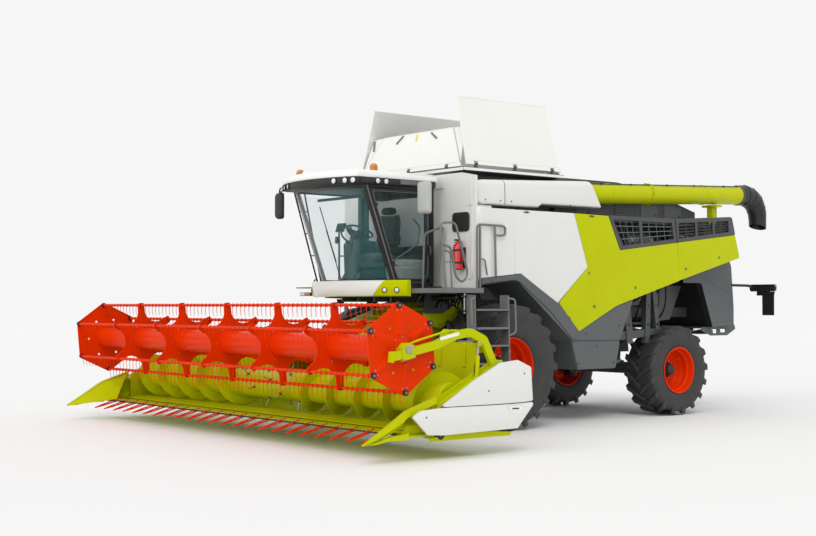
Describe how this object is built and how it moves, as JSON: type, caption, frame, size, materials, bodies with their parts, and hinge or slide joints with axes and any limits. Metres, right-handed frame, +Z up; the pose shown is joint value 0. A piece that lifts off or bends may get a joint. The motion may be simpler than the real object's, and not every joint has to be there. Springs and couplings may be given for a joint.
{
  "type": "combine harvester",
  "caption": "Self-propelled combine harvester with a wide cutting header, sweeping reel, glazed cab, open grain tank with folding flaps and a swinging unloading tube.",
  "frame": {"origin": "on the ground, under the middle of the whole machine's outline", "axes": "+X to the machine's left, +Y rearward, +Z up; the machine faces -Y"},
  "size_m": [8.1, 11.065, 4.9429],
  "materials": {
    "green_paint": "gloss",
    "white_paint": "gloss",
    "red_paint": "gloss",
    "dark_paint": "satin",
    "grey_paint": "satin",
    "cover_plastic": "matte",
    "white_plastic": "satin",
    "steel": "satin",
    "cast": "matte",
    "tyre": "matte",
    "glass": "gloss",
    "cushion": "matte"
  },
  "bodies": {
    "chassis": {"cab_base": "green_paint", "cab_frame": "dark_paint", "cab_glass": "glass", "cab_interior": "cover_plastic", "cab_roof": "white_plastic", "driver_cushion": "cushion", "engine_block": "cast", "engine_deck": "dark_paint", "front_axle": "green_paint", "front_wall": "white_paint", "grain_tank": "dark_paint", "lower_side_boxes": "green_paint", "main_frame": "green_paint", "platform": "dark_paint", "radiator_housing": "cover_plastic", "rear_axle": "green_paint", "straw_hood": "green_paint", "threshing_housing": "grey_paint"},
    "header": {"feeder_house": "grey_paint", "header_frame": "green_paint", "header_side_covers": "white_plastic"},
    "cutter_table": {"cutter_table": "red_paint"},
    "intake_auger": {"intake_auger": "green_paint"},
    "reel_arms": {"reel_arms": "green_paint"},
    "reel_carriers": {"reel_carriers": "dark_paint"},
    "reel": {"reel": "red_paint"},
    "reel_lift_barrels": {"reel_lift_barrels": "dark_paint"},
    "reel_lift_rods": {"reel_lift_rods": "steel"},
    "header_lift_barrels": {"header_lift_barrels": "dark_paint"},
    "header_lift_rods": {"header_lift_rods": "steel"},
    "front_wheel_left": {"wheel_front_left": "tyre"},
    "front_wheel_right": {"wheel_front_right": "tyre"},
    "rear_wheel_left": {"wheel_rear_left": "tyre"},
    "rear_wheel_right": {"wheel_rear_right": "tyre"},
    "knuckle_left": {"steering_knuckle_left": "green_paint"},
    "knuckle_right": {"steering_knuckle_right": "green_paint"},
    "cab_door": {"cab_door": "dark_paint", "cab_door_glass": "glass"},
    "ladder": {"ladder": "dark_paint"},
    "unloader": {"unloading_tube": "green_paint", "unloading_hood": "white_paint", "unloading_spout": "dark_paint"},
    "flap_left": {"tank_flap_left": "white_paint"},
    "flap_right": {"tank_flap_right": "white_paint"},
    "flap_front": {"tank_flap_front": "white_paint"},
    "flap_rear": {"tank_flap_rear": "white_paint"},
    "door_front_left": {"side_door_front_left": "green_paint"},
    "door_front_right": {"side_door_front_right": "green_paint"},
    "door_rear_left": {"side_door_rear_left": "green_paint"},
    "door_rear_right": {"side_door_rear_right": "green_paint"},
    "spreader_left": {"spreader_disc_left": "steel"},
    "spreader_right": {"spreader_disc_right": "steel"},
    "reel_bar_1": {"reel_bar_1": "red_paint"},
    "reel_bar_2": {"reel_bar_2": "red_paint"},
    "reel_bar_3": {"reel_bar_3": "red_paint"},
    "reel_bar_4": {"reel_bar_4": "red_paint"},
    "reel_bar_5": {"reel_bar_5": "red_paint"},
    "reel_bar_6": {"reel_bar_6": "red_paint"}
  },
  "joints": [
    {"name": "header_lift", "type": "hinge", "parent": "chassis", "child": "header", "pos_m": [0, -1.495, 1.6], "axis": [-1, 0, 0], "range_deg": [-2.5, 12]},
    {"name": "table_slide", "type": "slide", "parent": "header", "child": "cutter_table", "axis": [0, -1, 0], "range_m": [0, 0.45]},
    {"name": "auger_spin", "type": "hinge", "parent": "header", "child": "intake_auger", "pos_m": [0, -4.125, 0.69], "axis": [1, 0, 0], "continuous": true},
    {"name": "reel_lift", "type": "hinge", "parent": "header", "child": "reel_arms", "pos_m": [0, -3.545, 1.08], "axis": [-1, 0, 0], "range_deg": [-4, 30]},
    {"name": "reel_slide", "type": "slide", "parent": "reel_arms", "child": "reel_carriers", "axis": [0, -0.9823, -0.1875], "range_m": [0, 0.13]},
    {"name": "reel_spin", "type": "hinge", "parent": "reel_carriers", "child": "reel", "pos_m": [0, -4.901, 1.309], "axis": [1, 0, 0], "continuous": true},
    {"name": "reel_bar_1_turn", "type": "hinge", "parent": "reel", "child": "reel_bar_1", "pos_m": [0, -4.94883, 1.81876], "axis": [1, 0, 0], "continuous": true},
    {"name": "reel_bar_2_turn", "type": "hinge", "parent": "reel", "child": "reel_bar_2", "pos_m": [0, -4.48345, 1.6053], "axis": [1, 0, 0], "continuous": true},
    {"name": "reel_bar_3_turn", "type": "hinge", "parent": "reel", "child": "reel_bar_3", "pos_m": [0, -4.43562, 1.09554], "axis": [1, 0, 0], "continuous": true},
    {"name": "reel_bar_4_turn", "type": "hinge", "parent": "reel", "child": "reel_bar_4", "pos_m": [0, -4.85317, 0.79924], "axis": [1, 0, 0], "continuous": true},
    {"name": "reel_bar_5_turn", "type": "hinge", "parent": "reel", "child": "reel_bar_5", "pos_m": [0, -5.31855, 1.0127], "axis": [1, 0, 0], "continuous": true},
    {"name": "reel_bar_6_turn", "type": "hinge", "parent": "reel", "child": "reel_bar_6", "pos_m": [0, -5.36638, 1.52246], "axis": [1, 0, 0], "continuous": true},
    {"name": "reel_lift_barrels_turn", "type": "hinge", "parent": "header", "child": "reel_lift_barrels", "pos_m": [0, -3.822, 0.9], "axis": [-1, 0, 0], "range_deg": [-3, 18]},
    {"name": "reel_lift_rods_slide", "type": "slide", "parent": "reel_lift_barrels", "child": "reel_lift_rods", "axis": [0, 0.0483, 0.9988], "range_m": [-0.02, 0.13]},
    {"name": "header_lift_barrels_turn", "type": "hinge", "parent": "chassis", "child": "header_lift_barrels", "pos_m": [0, -1.51, 0.79], "axis": [-1, 0, 0], "range_deg": [-3, 13]},
    {"name": "header_lift_rods_slide", "type": "slide", "parent": "header_lift_barrels", "child": "header_lift_rods", "axis": [0, -0.998, -0.0626], "range_m": [-0.04, 0.18]},
    {"name": "front_wheel_left_spin", "type": "hinge", "parent": "chassis", "child": "front_wheel_left", "pos_m": [1.494, -1.295, 0.925], "axis": [1, 0, 0], "continuous": true},
    {"name": "front_wheel_right_spin", "type": "hinge", "parent": "chassis", "child": "front_wheel_right", "pos_m": [-1.494, -1.295, 0.925], "axis": [1, 0, 0], "continuous": true},
    {"name": "steer_left", "type": "hinge", "parent": "chassis", "child": "knuckle_left", "pos_m": [0.9, 2.775, 0.745], "axis": [0, 0, 1], "range_deg": [-35, 35]},
    {"name": "steer_right", "type": "hinge", "parent": "chassis", "child": "knuckle_right", "pos_m": [-0.9, 2.775, 0.745], "axis": [0, 0, 1], "range_deg": [-35, 35]},
    {"name": "rear_wheel_left_spin", "type": "hinge", "parent": "knuckle_left", "child": "rear_wheel_left", "pos_m": [1.28, 2.775, 0.745], "axis": [1, 0, 0], "continuous": true},
    {"name": "rear_wheel_right_spin", "type": "hinge", "parent": "knuckle_right", "child": "rear_wheel_right", "pos_m": [-1.28, 2.775, 0.745], "axis": [1, 0, 0], "continuous": true},
    {"name": "cab_door_turn", "type": "hinge", "parent": "chassis", "child": "cab_door", "pos_m": [0.9, -2.8939, 2.8], "axis": [0, 0.3504, -0.9366], "range_deg": [0, 55]},
    {"name": "ladder_swing", "type": "hinge", "parent": "chassis", "child": "ladder", "pos_m": [1.935, -2.28, 1.85], "axis": [0, 0, -1], "range_deg": [0, 75]},
    {"name": "unloader_swing", "type": "hinge", "parent": "chassis", "child": "unloader", "pos_m": [1.28, -1.395, 3.492], "axis": [0, 0, -1], "range_deg": [0, 100]},
    {"name": "flap_left_fold", "type": "hinge", "parent": "chassis", "child": "flap_left", "pos_m": [1.285, -0.695, 3.906], "axis": [0, -1, 0], "range_deg": [0, 68]},
    {"name": "flap_right_fold", "type": "hinge", "parent": "chassis", "child": "flap_right", "pos_m": [-1.285, -0.695, 3.906], "axis": [0, 1, 0], "range_deg": [0, 68]},
    {"name": "flap_front_fold", "type": "hinge", "parent": "chassis", "child": "flap_front", "pos_m": [0, -1.72, 3.876], "axis": [-1, 0, 0], "range_deg": [0, 77]},
    {"name": "flap_rear_fold", "type": "hinge", "parent": "chassis", "child": "flap_rear", "pos_m": [0, 0.33, 3.876], "axis": [1, 0, 0], "range_deg": [0, 77]},
    {"name": "door_front_left_lift", "type": "hinge", "parent": "chassis", "child": "door_front_left", "pos_m": [1.635, 0.605, 3.2], "axis": [0, -1, 0], "range_deg": [0, 80]},
    {"name": "door_rear_left_lift", "type": "hinge", "parent": "chassis", "child": "door_rear_left", "pos_m": [1.635, 3.555, 3.2], "axis": [0, -1, 0], "range_deg": [0, 80]},
    {"name": "door_front_right_lift", "type": "hinge", "parent": "chassis", "child": "door_front_right", "pos_m": [-1.635, 0.605, 3.2], "axis": [0, 1, 0], "range_deg": [0, 80]},
    {"name": "door_rear_right_lift", "type": "hinge", "parent": "chassis", "child": "door_rear_right", "pos_m": [-1.635, 3.555, 3.2], "axis": [0, 1, 0], "range_deg": [0, 80]},
    {"name": "spreader_left_spin", "type": "hinge", "parent": "chassis", "child": "spreader_left", "pos_m": [0.52, 4.325, 1.38], "axis": [0, 0, 1], "continuous": true},
    {"name": "spreader_right_spin", "type": "hinge", "parent": "chassis", "child": "spreader_right", "pos_m": [-0.52, 4.325, 1.38], "axis": [0, 0, 1], "continuous": true}
  ],
  "couplings": [
    {"joint": "reel_bar_1_turn", "follows": "reel_spin", "ratio": -1},
    {"joint": "reel_bar_2_turn", "follows": "reel_spin", "ratio": -1},
    {"joint": "reel_bar_3_turn", "follows": "reel_spin", "ratio": -1},
    {"joint": "reel_bar_4_turn", "follows": "reel_spin", "ratio": -1},
    {"joint": "reel_bar_5_turn", "follows": "reel_spin", "ratio": -1},
    {"joint": "reel_bar_6_turn", "follows": "reel_spin", "ratio": -1},
    {"joint": "reel_lift_barrels_turn", "follows": "reel_lift", "ratio": 0.5591},
    {"joint": "reel_lift_rods_slide", "follows": "reel_lift", "m_per_rad": 0.2358},
    {"joint": "header_lift_barrels_turn", "follows": "header_lift", "ratio": 0.9881},
    {"joint": "header_lift_rods_slide", "follows": "header_lift", "m_per_rad": 0.8085},
    {"joint": "steer_right", "follows": "steer_left", "ratio": 1},
    {"joint": "flap_right_fold", "follows": "flap_left_fold", "ratio": 1},
    {"joint": "flap_front_fold", "follows": "flap_left_fold", "ratio": 1.1323},
    {"joint": "flap_rear_fold", "follows": "flap_left_fold", "ratio": 1.1323},
    {"joint": "spreader_right_spin", "follows": "spreader_left_spin", "ratio": -1}
  ]
}
